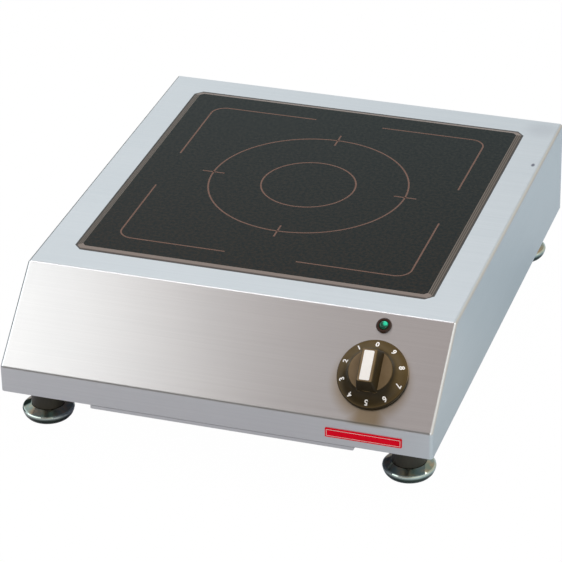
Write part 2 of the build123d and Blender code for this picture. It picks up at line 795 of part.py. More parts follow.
with BuildPart() as fan_rotor:
    rotor_foot = base_z + 4 + part_gap + 0.4
    rotor_tall = fan_height - 6
    studs([(fan_x, fan_y)], rotor_foot, hub_fan, rotor_tall)
    studs([(fan_x, fan_y)], rotor_foot, hub_fan - 2, rotor_tall - 3, Mode.SUBTRACT)
    studs([(fan_x, fan_y)], base_z + 1.5 + part_gap, 1.5, rotor_tall)
    for blade in range(blade_count):
        angle = math.radians(blade * 360 / blade_count)
        outward = Vector(math.cos(angle), math.sin(angle), 0)
        hub_side = Vector(fan_x, fan_y, rotor_foot + rotor_tall / 2) + outward * (hub_fan - 1)
        with BuildSketch(Plane(origin=hub_side, z_dir=outward)):
            Rectangle(blade_chord, blade_thick, rotation=38)
        extrude(amount=fan_bore - 2.2 - hub_fan)

with BuildPart() as fan_screws:
    studs(fan_spots, under_z, 2.0, sheet + fan_height + 2)
    for spot_x, spot_y in fan_spots:
        turned(
            upright(spot_x, spot_y),
            (0, under_z),
            (fan_head, under_z),
            (2.0, under_z + sheet),
            (0, under_z + sheet),
        )

with BuildPart() as air_duct:
    duct_front = fan_y - fan_size / 2 - 1
    duct_rear = coil_y - board_length / 2 - duct_wall - 1
    duct_mid = (duct_front + duct_rear) / 2
    duct_long = duct_rear - duct_front
    duct_wide = fan_size + 2 + 2 * duct_wall
    block(fan_x, duct_mid, base_z, duct_wide, duct_long + 2 * duct_wall, duct_height)
    block(
        fan_x,
        duct_mid + duct_wall,
        base_z,
        fan_size + 2,
        duct_long + 2 * duct_wall,
        duct_height - duct_wall,
        Mode.SUBTRACT,
    )

# ---- leads ----------------------------------------------------------------------------------------------------------
coil_end = coil_inner + coil_pitch * coil_turns
with BuildPart() as coil_leads:
    for side, back in ((-1, 30), (1, 30 - lead_stagger)):
        tab_x = cap_x + side * tab_spread
        tab_y = coil_y + board_length / 2 - terminal_inset
        tab_top = board_top + tab_height
        lead(
            [
                (tab_x, tab_y, tab_top),
                (tab_x, tab_y, tab_top + lead_rise),
                (tab_x, coil_y + back, tab_top + lead_rise),
                (tab_x, coil_y + back, tray_z),
            ],
            2.0,
            8,
        )

with BuildPart() as supply_leads:
    for along in (board_length / 2 - lead_inset - lead_pitch, board_length / 2 - lead_inset):
        lead(
            [
                (mains_centre[0] - 25, coil_y + along, board_top),
                (mains_centre[0] - 25, coil_y + along, board_top + 22),
                (board_width / 2 - 6, coil_y + along, board_top + 22),
                (board_width / 2 - 6, coil_y + along, board_top),
            ],
            1.4,
            8,
        )

# ---- grease filter ----------------------------------------------------------------------------------------------------
rail_inside = filter_width / 2 + part_gap
rail_front = front_y + filter_setback + 12
rail_back = filter_y + filter_length / 2 + part_gap
rail_long = rail_back + rail_thick - rail_front
rail_y = (rail_front + rail_back + rail_thick) / 2
channel = filter_height + 2 * part_gap
with BuildPart() as filter_rails:
    for side in (-1, 1):
        web_x = filter_x + side * (rail_inside + rail_thick / 2)
        lip_x = filter_x + side * (rail_inside + rail_thick - (rail_lip + rail_thick) / 2)
        block(web_x, rail_y, under_z - channel - rail_thick, rail_thick, rail_long, channel + rail_thick)
        block(lip_x, rail_y, under_z - channel - rail_thick, rail_lip + rail_thick, rail_long, rail_thick)
        stop_x = filter_x + side * (rail_inside - 4)
        block(stop_x, rail_back + rail_thick / 2, under_z - channel, 9, rail_thick, channel)

filter_z = under_z - part_gap - filter_height
with BuildPart() as filter_holder:
    block(filter_x, filter_y, filter_z, filter_width, filter_length, filter_height)
    fillet(filter_holder.edges().filter_by(Axis.Z), 3)
    open_x = filter_width - 2 * filter_frame
    open_y = filter_length - 2 * filter_frame
    block(filter_x, filter_y, filter_z + 1, open_x, open_y, filter_height, Mode.SUBTRACT)
    block(filter_x, filter_y, filter_z, open_x - 8, open_y - 8, 1, Mode.SUBTRACT)
    web_y = front_y + (apron_thick + filter_setback) / 2
    web_deep = filter_setback - apron_thick + 2
    block(filter_x, web_y, filter_z + filter_height - web_thick, apron_width - 8, web_deep, web_thick)
    apron_top = base_z - part_gap
    apron_mid = (apron_top + base_z - apron_drop) / 2
    with BuildSketch(upright(filter_x, front_y + apron_thick, apron_mid)) as apron_face:
        Rectangle(apron_width, apron_drop - part_gap)
        fillet(apron_face.vertices().sort_by(Axis.Y)[:2].sort_by(Axis.X)[-1], apron_round)
    extrude(amount=apron_thick)

with BuildPart() as filter_mesh:
    block(filter_x, filter_y, filter_z + 1, open_x - 0.4, open_y - 0.4, mesh_thick)
    with BuildSketch(Plane((filter_x, filter_y, filter_z + 1))):
        with GridLocations(14, 14, 15, 11):
            Rectangle(10.5, 10.5)
    extrude(amount=mesh_thick, mode=Mode.SUBTRACT)

# ---- feet ------------------------------------------------------------------------------------------------------------
with BuildPart() as foot_sleeves:
    studs(feet.values(), sleeve_bottom, sleeve_radius, under_z - sleeve_bottom)
    studs(feet.values(), under_z, spigot_radius, sheet + foot_nut_height + 2)
    studs(feet.values(), sleeve_bottom, stem_radius + run_gap, under_z + 20, Mode.SUBTRACT)

with BuildPart() as foot_nuts:
    with BuildSketch(Plane.XY.offset(base_z)):
        with Locations(*feet.values()):
            RegularPolygon(foot_nut_flats / 2, 6, major_radius=False)
        with Locations(*feet.values()):
            Circle(spigot_radius + run_gap, mode=Mode.SUBTRACT)
    extrude(amount=foot_nut_height)

cup_swell = cup_radius - cup_base_radius
foot_parts = {}
for corner, (foot_x, foot_y) in feet.items():
    with BuildPart() as foot_cup:
        turned(
            upright(foot_x, foot_y),
            (0, pad_height + part_gap + 3),
            (pad_pin + run_gap, pad_height + part_gap + 3),
            (pad_pin + run_gap, pad_height + part_gap),
            (pad_radius + part_gap, pad_height + part_gap),
            (pad_radius + part_gap, 0.8),
            (cup_base_radius, 0.8),
            (cup_base_radius + cup_swell * 0.5, cup_rim_height * 0.3),
            (cup_radius - cup_swell * 0.15, cup_rim_height * 0.6),
            (cup_radius, cup_rim_height - 1.7),
            (cup_radius - 0.2, cup_rim_height - 0.7),
            (cup_radius - 0.9, cup_rim_height),
            (sleeve_radius + 0.5, sleeve_bottom - part_gap),
            (stem_radius, sleeve_bottom - part_gap),
            (stem_radius, stem_top - 1),
            (stem_radius - 1, stem_top),
            (0, stem_top),
        )
    with BuildPart() as foot_pad:
        turned(
            upright(foot_x, foot_y),
            (0, 0),
            (pad_radius - 0.5, 0),
            (pad_radius, 0.5),
            (pad_radius, pad_height),
            (pad_pin, pad_height),
            (pad_pin, pad_height + part_gap + 2.7),
            (0, pad_height + part_gap + 2.7),
        )
    foot_parts[f"foot_cup_{corner}"] = foot_cup
    foot_parts[f"foot_pad_{corner}"] = foot_pad

# ---- one STEP file per piece ---------------------------------------------------------------------------------------------
pieces = {
    "housing": housing,
    "rear_panel": rear_panel,
    "base_plate": base_plate,
    "base_screws": base_screws,
    "rear_screws": rear_screws,
    "glass_plate": glass_plate,
    "glass_seal": glass_seal,
    "glass_carrier": glass_carrier,
    "badge": badge,
    "rating_plate": rating_plate,
    "lamp_bezel": lamp_bezel,
    "lamp_lens": lamp_lens,
    "power_regulator": power_regulator,
    "panel_nuts": panel_nuts,
    "knob_dial": knob_dial,
    "knob_insert": knob_insert,
    "knob_shaft": knob_shaft,
    "cable_gland": cable_gland,
    "gland_locknut": gland_locknut,
    "bonding_stud": bonding_stud,
    "mica_sheet": mica_sheet,
    "coil_winding": coil_winding,
    "coil_tray": coil_tray,
    "ferrite_bars": ferrite_bars,
    "temperature_sensor": temperature_sensor,
    "coil_posts": coil_posts,
    "coil_springs": coil_springs,
    "board_standoffs": board_standoffs,
    "board_screws": board_screws,
    "power_board": power_board,
    "heatsink": heatsink,
    "power_transistors": power_transistors,
    "bridge_rectifier": bridge_rectifier,
    "film_capacitors": film_capacitors,
    "power_choke": power_choke,
    "coil_terminals": coil_terminals,
    "mains_board": mains_board,
    "mains_filter": mains_filter,
    "terminal_block": terminal_block,
    "control_board": control_board,
    "control_parts": control_parts,
    "fan_frame": fan_frame,
    "fan_rotor": fan_rotor,
    "fan_screws": fan_screws,
    "air_duct": air_duct,
    "coil_leads": coil_leads,
    "supply_leads": supply_leads,
    "filter_rails": filter_rails,
    "filter_holder": filter_holder,
    "filter_mesh": filter_mesh,
    "foot_sleeves": foot_sleeves,
    "foot_nuts": foot_nuts,
    **foot_parts,
}
for name, piece in pieces.items():
    piece.part.label = name
    export_step(piece.part, f"parts/{name}.step")
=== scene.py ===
"""Looks for the table-top induction hob: camera, light, materials and the fine detail that the
CAD solids leave out. Metres, in the frame's own axes: +X right, +Y back, +Z up."""

import json
import math

import bmesh
import bpy
from mathutils import Matrix, Vector
from mathutils.bvhtree import BVHTree


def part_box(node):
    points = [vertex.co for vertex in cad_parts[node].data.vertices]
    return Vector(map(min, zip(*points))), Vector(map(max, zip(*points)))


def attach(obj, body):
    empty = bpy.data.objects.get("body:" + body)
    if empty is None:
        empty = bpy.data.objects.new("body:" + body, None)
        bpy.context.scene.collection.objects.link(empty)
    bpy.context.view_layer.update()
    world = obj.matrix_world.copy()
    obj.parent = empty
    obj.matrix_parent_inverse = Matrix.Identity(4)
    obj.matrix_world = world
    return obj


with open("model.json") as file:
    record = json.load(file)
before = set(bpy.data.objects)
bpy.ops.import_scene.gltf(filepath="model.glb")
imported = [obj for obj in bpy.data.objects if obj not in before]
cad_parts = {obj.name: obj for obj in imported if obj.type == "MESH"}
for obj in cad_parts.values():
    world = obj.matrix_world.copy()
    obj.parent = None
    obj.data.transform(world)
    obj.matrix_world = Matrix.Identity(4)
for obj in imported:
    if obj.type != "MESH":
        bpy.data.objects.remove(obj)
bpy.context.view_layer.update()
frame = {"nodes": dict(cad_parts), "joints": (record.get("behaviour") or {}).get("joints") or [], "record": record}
nodes = frame["nodes"]
X_AXIS = Vector((1, 0, 0))

# ---- sizes of the drawn detail ----------------------------------------------------------------
PRINT_LINE = 0.0016
PRINT_LIFT = 0.00004
BRACKET_INSET = 0.030
BRACKET_LENGTH = 0.105
BRACKET_ROUND = 0.014
BRACKET_STEPS = 12
ZONE_RADIUS = 0.095
CORE_RADIUS = 0.045
RING_STEPS = 144
TICK_LENGTH = 0.022
DIGIT_COUNT = 10
DIGIT_CIRCLE = 0.0265
DIGIT_HEIGHT = 0.0046
DIGIT_BOLDEN = 0.0002
DIGIT_LIFT = 0.00008
CAP_HEIGHT = 0.70  # a capital's share of the font's size
DIAL_TURN = 1.4  # degrees, as the knob stands
KEYLINE = 0.00035
KEYLINE_INSET = 0.0012

# ---- sizes of wear, finish and painted light and shade ----------------------------------------
# A fade is (full, gone): how far out a mark is whole, and how far out it has ended. Where it is
# told from an edge, inside the edge is negative.
BAND_HEIGHT = 0.0255
BUMP_DEPTH = 0.0001
PIN_FROM_SIDE = 0.0074
PIN_FROM_BACK = 0.0927
PIN_SQUASH = (1, 0.55, 1)  # makes the mark longer along Y
PIN_FADE = (0.0008, 0.0024)
BLOTCH_FROM_SIDE = 0.016
BLOTCH_FROM_BACK = 0.018
BLOTCH_FADE = (0.004, 0.024)
# Where the painted shadow and reflection of the knob lies on the panel:
SHADOW_SHIFT = 0.003  # to the right of the knob's middle
SHADOW_ASIDE_FADE = (0.006, 0.022)
SHADOW_DOWN_FADE = (0.030, 0.022)  # below the knob's middle
SHADOW_FOLD_FADE = (0.002, -0.004)  # above the fold between panel and band
HALO_DROP = 0.007
HALO_FADE = (-0.004, 0.010)  # from the dial's edge
DIAL_RIM_FADE = (-0.0010, -0.0025)  # from the dial's edge; the dial's painted highlight rim
GRINDING_PITCH = 0.0018
GLASS_RIM_FADE = (-0.0008, -0.0022)  # from the glass's edge
# How far from the lens's top its painted highlight fades out:
LENS_FADE = (0.0008, 0.0034)
DISH_FADE = (-0.0022, -0.0010)  # from the chrome cup's edge; where the dish's painted reflection begins
FLANK_FADE = (0.0050, 0.0080)  # height of the cup's dark flank, a painted shade

# ---- camera and stage -------------------------------------------------------------------------
AZIMUTH = math.radians(18.68)
ELEVATION = math.radians(29.74)
ROLL = math.radians(-1.24)
DISTANCE = 2.575
PANEL_RUN = 0.0775  # depth that the slanted panel takes
AIM_FROM_FOLD = Vector((0.0315, 0.0276, 0))
SENSOR_MM = 36
LENS_MM = 184.804
FLOOR_SIZE = 12


# ---- places read from the frame ---------------------------------------------------------------
def middle(low_corner, high_corner):
    return (low_corner + high_corner) / 2


housing_low, housing_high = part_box("housing")
glass_low, glass_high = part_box("glass_plate")
badge_low, badge_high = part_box("badge")
dial_low, dial_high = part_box("knob_dial")
cup_low, cup_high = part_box("foot_cup_front_right")
knob_joint = next(j for j in frame["joints"] if j["name"] == "knob_turn")
foot_joints = [j for j in frame["joints"] if j["name"].startswith("foot_travel")]

HOUSING_MID = middle(housing_low, housing_high)
DECK_Z = housing_high.z
GLASS_MID = middle(glass_low, glass_high)
GLASS_HALF = (glass_high - glass_low) / 2
ZONE = middle(*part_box("coil_tray"))
KNOB_CENTRE = Vector(knob_joint["pos_m"])
KNOB_OUT = -Vector(knob_joint["axis"]).normalized()  # away from the panel
KNOB_UP = KNOB_OUT.cross(X_AXIS).normalized()  # up the panel's slope
KNOB_LIT_FROM = KNOB_UP * 0.95 + X_AXIS * 0.25
DIAL_RADIUS = (dial_high.x - dial_low.x) / 2
LENS_TOP = max((v.co for v in nodes["lamp_lens"].data.vertices), key=KNOB_OUT.dot).copy()
CUP_FROM_MID = middle(cup_low, cup_high) - HOUSING_MID
CUP_RADIUS = (cup_high.x - cup_low.x) / 2
FOOT_TRAVEL = max(joint["range_m"][1] for joint in foot_joints)
PIN_MARK = Vector((housing_high.x - PIN_FROM_SIDE, housing_high.y - PIN_FROM_BACK, DECK_Z))
BLOTCH = Vector((housing_high.x - BLOTCH_FROM_SIDE, housing_high.y - BLOTCH_FROM_BACK, DECK_Z))


def make_camera():
    """Looks from the right of the front and about 30 degrees up, aiming near the front fold."""
    fold = Vector((0, housing_low.y + PANEL_RUN, DECK_Z))
    level = math.cos(ELEVATION)
    back = Vector((math.sin(AZIMUTH) * level, -math.cos(AZIMUTH) * level, math.sin(ELEVATION)))
    right = Vector((math.cos(AZIMUTH), math.sin(AZIMUTH), 0))
    up = back.cross(right)
    tilted_right = right * math.cos(ROLL) + up * math.sin(ROLL)
    tilted_up = up * math.cos(ROLL) - right * math.sin(ROLL)
    data = bpy.data.cameras.new("camera")
    data.sensor_width = SENSOR_MM
    data.lens = LENS_MM
    data.clip_start = 0.05
    data.clip_end = 50
    camera = bpy.data.objects.new("camera", data)
    bpy.context.scene.collection.objects.link(camera)
    turn = Matrix((tilted_right, tilted_up, back)).transposed()
    place = Matrix.Translation(fold + AIM_FROM_FOLD + back * DISTANCE)
    camera.matrix_world = place @ turn.to_4x4()
    bpy.context.scene.camera = camera


# ---- node trees -------------------------------------------------------------------------------
class Nodes:
    """A thin wrapper that keeps node trees short to write."""

    def __init__(self, tree):
        self.tree = tree
        tree.nodes.clear()

    def add(self, kind, **settings):
        node = self.tree.nodes.new(kind)
        for key, value in settings.items():
            setattr(node, key, value)
        return node

    def link(self, source, target):
        self.tree.links.new(source, target)

    def value(self, socket, given):
        """Set a socket to a number or an RGB colour, or link it to an output."""
        if isinstance(given, bpy.types.NodeSocket):
            self.link(given, socket)
        elif socket.type == "RGBA":
            socket.default_value = (*given, 1)
        else:
            socket.default_value = given

    def math(self, operation, first, second=0.0):
        node = self.add("ShaderNodeMath", operation=operation)
        self.value(node.inputs[0], first)
        self.value(node.inputs[1], second)
        return node.outputs[0]

    def multiply(self, first, second):
        return self.math("MULTIPLY", first, second)

    def span(self, source, low, high, out_low=0.0, out_high=1.0, smooth=True):
        """Map low..high of a value to out_low..out_high, clamped."""
        node = self.add("ShaderNodeMapRange")
        node.interpolation_type = "SMOOTHSTEP" if smooth else "LINEAR"
        self.value(node.inputs["Value"], source)
        self.value(node.inputs["From Min"], low)
        self.value(node.inputs["From Max"], high)
        self.value(node.inputs["To Min"], out_low)
        self.value(node.inputs["To Max"], out_high)
        return node.outputs["Result"]

    def mix(self, factor, first, second, kind="RGBA"):
        """From the first colour to the second, or between numbers (FLOAT) or vectors (VECTOR)."""
        node = self.add("ShaderNodeMix", data_type=kind)
        self.value(node.inputs["Factor"], factor)
        self.value(node.inputs["A"], first)
        self.value(node.inputs["B"], second)
        return node.outputs["Result"]

    def mapped(self, scale=1, location=(0, 0, 0)):
        """Object coordinates, scaled by one number or by one per axis."""
        coords = self.add("ShaderNodeTexCoord")
        mapping = self.add("ShaderNodeMapping")
        per_axis = (scale, scale, scale) if isinstance(scale, (int, float)) else scale
        mapping.inputs["Scale"].default_value = per_axis
        mapping.inputs["Location"].default_value = location
        self.link(coords.outputs["Object"], mapping.inputs["Vector"])
        return mapping.outputs["Vector"]

    def split(self, vector):
        """The x, y and z of a vector."""
        parts = self.add("ShaderNodeSeparateXYZ")
        self.link(vector, parts.inputs[0])
        return parts.outputs["X"], parts.outputs["Y"], parts.outputs["Z"]

    def normal(self, kind="True Normal"):
        return self.add("ShaderNodeNewGeometry").outputs[kind]

    def along(self, vector, direction):
        """How far a vector reaches in a direction."""
        node = self.add("ShaderNodeVectorMath", operation="DOT_PRODUCT")
        self.link(vector, node.inputs[0])
        node.inputs[1].default_value = direction
        return node.outputs["Value"]

    def away(self, spot, squash=(1, 1, 1)):
        """How far the point is from a spot; an axis with a squash under 1 counts for less."""
        node = self.add("ShaderNodeVectorMath", operation="DISTANCE")
        self.link(self.mapped(squash), node.inputs[0])
        node.inputs[1].default_value = spot * Vector(squash)
        return node.outputs["Value"]

    def fade(self, value, full_gone, start=0.0):
        """1 at a fade's full end, 0 at its gone end, both counted from start."""
        full, gone = full_gone
        return self.span(value, start + gone, start + full)

    def off_mid(self, value, centre, half):
        """How far a coordinate lies outside centre +- half; negative inside."""
        away = self.math("ABSOLUTE", self.math("SUBTRACT", value, centre))
        return self.math("SUBTRACT", away, half)

    def noise(self, scale, detail=3.0, location=(0, 0, 0)):
        node = self.add("ShaderNodeTexNoise")
        self.link(self.mapped(scale, location), node.inputs["Vector"])
        node.inputs["Scale"].default_value = 1.0
        node.inputs["Detail"].default_value = detail
        node.inputs["Roughness"].default_value = 0.55
        return node.outputs["Fac"]

    def bump(self, height, strength):
        node = self.add("ShaderNodeBump")
        node.inputs["Strength"].default_value = strength
        node.inputs["Distance"].default_value = BUMP_DEPTH
        self.link(height, node.inputs["Height"])
        return node.outputs["Normal"]

    def output(self, shader, kind="Material"):
        """Wire a shader to the tree's output."""
        self.link(shader.outputs[0], self.add(f"ShaderNodeOutput{kind}").inputs[0])

    def finish(self, **sockets):
        """A Principled shader with the given sockets, wired to the output."""
        shader = self.add("ShaderNodeBsdfPrincipled")
        for name, given in sockets.items():
            self.value(shader.inputs[name.replace("_", " ")], given)
        self.output(shader)


def new_material(name):
    material = bpy.data.materials.new(name)
    material.use_nodes = True
    return material, Nodes(material.node_tree)


# ---- materials --------------------------------------------------------------------------------
def metal(name, dark, light, rough=(0.3, 0.45), scale=700):
    """Plain metal with a fine grain."""
    material, n = new_material(name)
    grain = n.noise(scale)
    n.finish(
        Base_Color=n.mix(n.span(grain, 0.3, 0.7), dark, light),
        Metallic=1.0,
        Roughness=n.span(grain, 0.3, 0.7, *rough),
        Normal=n.bump(grain, 0.1),
    )
    return material


def moulded(name, dark, light, rough=(0.35, 0.5), scale=1100):
    """Moulded plastic, rubber or the like with a fine grain and a slight drift in colour."""
    material, n = new_material(name)
    grain = n.noise(scale)
    drift = n.noise(40)
    n.finish(
        Base_Color=n.mix(n.span(drift, 0.3, 0.7), dark, light),
        Roughness=n.span(grain, 0.3, 0.7, *rough),
        Normal=n.bump(grain, 0.15),
    )
    return material


def knob_stain(n):
    """Painted shadow and reflection of the knob on the panel, round and below the dial: 0 to 1.
    The part below fades to the sides and stops at the fold above the band."""
    point = n.mapped()
    x, _, z = n.split(point)
    # Painted shadow of the knob: a part drawn down the panel below it, and a halo round the dial.
    down = n.math("SUBTRACT", n.along(point, -KNOB_UP), -KNOB_UP.dot(KNOB_CENTRE))
    aside = n.math("ABSOLUTE", n.math("SUBTRACT", x, KNOB_CENTRE.x + SHADOW_SHIFT))
    shadow_below = n.multiply(n.fade(aside, SHADOW_ASIDE_FADE), n.fade(down, SHADOW_DOWN_FADE))
    halo = n.fade(n.away(KNOB_CENTRE - KNOB_UP * HALO_DROP), HALO_FADE, DIAL_RADIUS)
    painted_shadow = n.math("MAXIMUM", n.multiply(shadow_below, 0.9), n.multiply(halo, 0.75))
    return n.multiply(painted_shadow, n.fade(z, SHADOW_FOLD_FADE, housing_low.z + BAND_HEIGHT))


def brushed_steel():
    """Stainless sheet brushed along X, and along Y on the side walls. What it mirrors is drawn out
    across the brushing. The deck has a pin mark and a darker blotch near its back right corner;
    below the dial the panel has a brown painted shadow and reflection of the knob."""
    material, n = new_material("brushed_stainless")
    normal_x, _, _ = n.split(n.normal("Normal"))
    side = n.span(n.math("ABSOLUTE", normal_x), 0.6, 0.9)
    coarse = n.mix(side, n.noise((3, 420, 420), 2.0), n.noise((420, 3, 420), 2.0), "FLOAT")
    fine = n.mix(side, n.noise((6, 2600, 2600), 2.0), n.noise((2600, 6, 2600), 2.0), "FLOAT")
    streak = n.math("ADD", n.multiply(coarse, 0.4), n.multiply(fine, 0.6))
    cloud = n.noise((7, 11, 9))
    pin = n.fade(n.away(PIN_MARK, PIN_SQUASH), PIN_FADE)
    # A darker blotch near the deck's back right corner.
    blotch = n.multiply(n.fade(n.away(BLOTCH), BLOTCH_FADE), n.span(cloud, 0.3, 0.7, 0.25, 0.65))
    base = n.mix(n.span(streak, 0.35, 0.65), (0.63, 0.66, 0.69), (0.67, 0.70, 0.73))
    base = n.mix(n.span(cloud, 0.35, 0.7, 0.0, 0.25), base, (0.57, 0.61, 0.645))
    base = n.mix(n.multiply(pin, 0.9), base, (0.11, 0.11, 0.15))
    base = n.mix(blotch, base, (0.40, 0.41, 0.45))
    # Painted shadow and reflection of the knob, in brown, on the panel below the dial.
    base = n.mix(knob_stain(n), base, (0.38, 0.315, 0.205))
    around_x = n.add("ShaderNodeTangent", direction_type="RADIAL", axis="X").outputs[0]
    around_y = n.add("ShaderNodeTangent", direction_type="RADIAL", axis="Y").outputs[0]
    n.finish(
        Base_Color=base,
        Metallic=1.0,
        Roughness=n.span(streak, 0.35, 0.65, 0.28, 0.32),
        Anisotropic=0.6,
        Tangent=n.mix(side, around_x, around_y, "VECTOR"),
    )
    return material


def ceramic_glass():
    """Dark glass with a fine grain, greener towards the back. Its rim, which isn't level, is ground:
    in lines at the sides, in two tones in front and behind."""
    material, n = new_material("ceramic_glass")
    _, normal_y, normal_z = n.split(n.normal())
    x, y, _ = n.split(n.mapped())
    speck = n.noise(2500, 2.0)
    back = n.span(y, glass_low.y, glass_high.y, smooth=False)
    pale = n.mix(back, (0.0165, 0.0115, 0.0070), (0.0115, 0.0160, 0.0140))
    body = n.mix(n.span(n.noise(330, 2.0), 0.3, 0.7), (0.0005, 0.0045, 0.0050), pale)

    aside = n.off_mid(x, GLASS_MID.x, GLASS_HALF.x)
    inset = n.math("MAXIMUM", aside, n.off_mid(y, GLASS_MID.y, GLASS_HALF.y))
    lines = n.math("SINE", n.multiply(inset, 2 * math.pi / GRINDING_PITCH))
    grinding = n.math("ADD", n.multiply(lines, 0.25), speck)
    rim_dark = (0.050, 0.043, 0.040)
    sides = n.mix(n.span(grinding, 0.25, 0.75), rim_dark, (0.165, 0.148, 0.132))
    ends = n.mix(n.fade(inset, GLASS_RIM_FADE), (0.25, 0.215, 0.200), (0.10, 0.088, 0.085))
    ends = n.mix(n.span(speck, 0.2, 0.8, 0.0, 0.25), ends, rim_dark)
    ground = n.mix(n.span(n.math("ABSOLUTE", normal_y), 0.03, 0.08), sides, ends)

    rim = n.span(normal_z, 0.999, 0.990)
    blotch = n.span(n.noise((9, 14, 9), 4.0, (5, 2, 0)), 0.35, 0.75, 0.07, 0.14)
    n.finish(
        Base_Color=n.mix(rim, body, ground),
        Roughness=n.math("ADD", blotch, n.multiply(rim, 0.3)),
        IOR=1.5,
        Specular_IOR_Level=0.078,
    )
    return material


def copper_print():
    """Brown copper ink with a fine grain, duller than the glass it lies on."""
    material, n = new_material("copper_print")
    grain = n.span(n.noise(1800, 2.0), 0.3, 0.7)
    n.finish(
        Base_Color=n.mix(grain, (0.120, 0.066, 0.050), (0.170, 0.096, 0.074)),
        Roughness=0.45,
        Specular_IOR_Level=0.15,
    )
    return material


def knob_plastic():
    """Brown-olive plastic with a random drift in tone. What faces out and towards the light is painted
    paler as painted light, the flats beside the grip and its top palest as a painted sheen; the
    walls and the low side stay dark as painted shade. The upper edge has a painted highlight rim."""
    material, n = new_material("dial_plastic")
    grain = n.noise(1400)
    facing = n.along(n.normal(), KNOB_OUT)
    lit = n.along(n.normal(), KNOB_LIT_FROM)
    # Painted light: what faces out and towards the light is paler; the rest is painted shade.
    outer = n.multiply(n.span(facing, 0.4, 0.8), n.span(lit, -0.38, 0.08, 0.08, 1.0))
    # The flats beside the grip and its top get a painted sheen.
    flats = n.span(facing, 0.985, 0.998)
    edge = n.fade(n.away(KNOB_CENTRE), DIAL_RIM_FADE, DIAL_RADIUS)
    # Painted highlight along the dial's upper edge, on the side towards the light.
    rim = n.multiply(n.multiply(n.span(facing, 0.3, 0.1), n.span(lit, 0.1, 0.45)), edge)
    worn = n.span(n.noise(60, 4.0), 0.35, 0.7)
    # dark is the painted shade, pale the painted light, the flats' colour a painted sheen.
    dark = n.mix(worn, (0.020, 0.013, 0.003), (0.028, 0.018, 0.004))
    pale = n.mix(worn, (0.082, 0.054, 0.016), (0.100, 0.066, 0.022))
    flat_sheen = n.mix(worn, (0.185, 0.130, 0.068), (0.225, 0.160, 0.092))
    base = n.mix(flats, n.mix(outer, dark, pale), flat_sheen)
    n.finish(
        Base_Color=n.mix(rim, base, (0.55, 0.40, 0.24)),
        Roughness=n.span(grain, 0.3, 0.7, 0.40, 0.50),
        Specular_IOR_Level=0.22,
        Normal=n.bump(grain, 0.25),
    )
    return material


def chrome():
    """Bright plating, painted darkest low on the flank as painted shade, and painted duller and
    browner down in the dish as a painted reflection."""
    material, n = new_material("polished_chrome")
    haze = n.noise(120, 4.0)
    patch = n.span(haze, 0.3, 0.7)
    x, y, z = n.split(n.mapped())
    from_x = n.off_mid(x, HOUSING_MID.x, abs(CUP_FROM_MID.x))
    from_y = n.off_mid(y, HOUSING_MID.y, abs(CUP_FROM_MID.y))
    radius = n.math("SQRT", n.math("ADD", n.multiply(from_x, from_x), n.multiply(from_y, from_y)))
    dish = n.fade(radius, DISH_FADE, CUP_RADIUS)
    # Painted shade: the low flank is painted near black.
    low = n.fade(z, FLANK_FADE)
    bright = n.mix(patch, (0.46, 0.55, 0.52), (0.56, 0.65, 0.61))
    # The dish's duller, browner colour is a painted reflection.
    dish_reflection = n.mix(patch, (0.20, 0.27, 0.25), (0.42, 0.34, 0.24))
    dark = n.mix(patch, (0.03, 0.05, 0.04), (0.055, 0.08, 0.065))
    n.finish(
        Base_Color=n.mix(low, n.mix(dish, bright, dish_reflection), dark),
        Metallic=1.0,
        Roughness=n.span(haze, 0.35, 0.75, 0.05, 0.12),
    )
    return material


def lens_green():
    """Green lens over the lamp: painted brighter at its middle, and glowing there, as a painted highlight."""
    material, n = new_material("lens_green")
    facets = n.add("ShaderNodeTexVoronoi")
    n.link(n.mapped(700), facets.inputs["Vector"])
    facets.inputs["Scale"].default_value = 1.0
    # Painted highlight: the base colour is brighter near the lens's top.
    edge = n.math("SUBTRACT", 1.0, n.fade(n.away(LENS_TOP), LENS_FADE))
    tone = n.math("ADD", edge, n.span(facets.outputs["Distance"], 0.0, 0.9, -0.25, 0.25))
    n.finish(
        Base_Color=n.mix(tone, (0.02, 0.52, 0.32), (0.0, 0.06, 0.035)),
        Roughness=0.12,
        # The glow at the lens's middle is painted light too.
        Emission_Color=n.mix(edge, (0.0, 0.55, 0.30), (0.0, 0.02, 0.01)),
        Emission_Strength=0.45,
    )
    return material


def circuit_green():
    """Solder mask with faint copper tracks under it."""
    material, n = new_material("circuit_board")
    tracks = n.add("ShaderNodeTexBrick")
    n.link(n.mapped(160), tracks.inputs["Vector"])
    n.value(tracks.inputs["Color1"], (0.012, 0.11, 0.045))
    n.value(tracks.inputs["Color2"], (0.015, 0.14, 0.055))
    n.value(tracks.inputs["Mortar"], (0.03, 0.24, 0.10))
    tracks.inputs["Mortar Size"].default_value = 0.03
    n.finish(Base_Color=tracks.outputs["Color"], Roughness=0.35)
    return material


def red_enamel():
    """Strong red with a slight drift and hardly any shine."""
    material, n = new_material("red_enamel")
    drift = n.span(n.noise(80, 2.0), 0.3, 0.7)
    n.finish(
        Base_Color=n.mix(drift, (0.823, 0.0, 0.016), (0.922, 0.0, 0.0232)),
        Roughness=0.45,
        Specular_IOR_Level=0.08,
    )
    return material


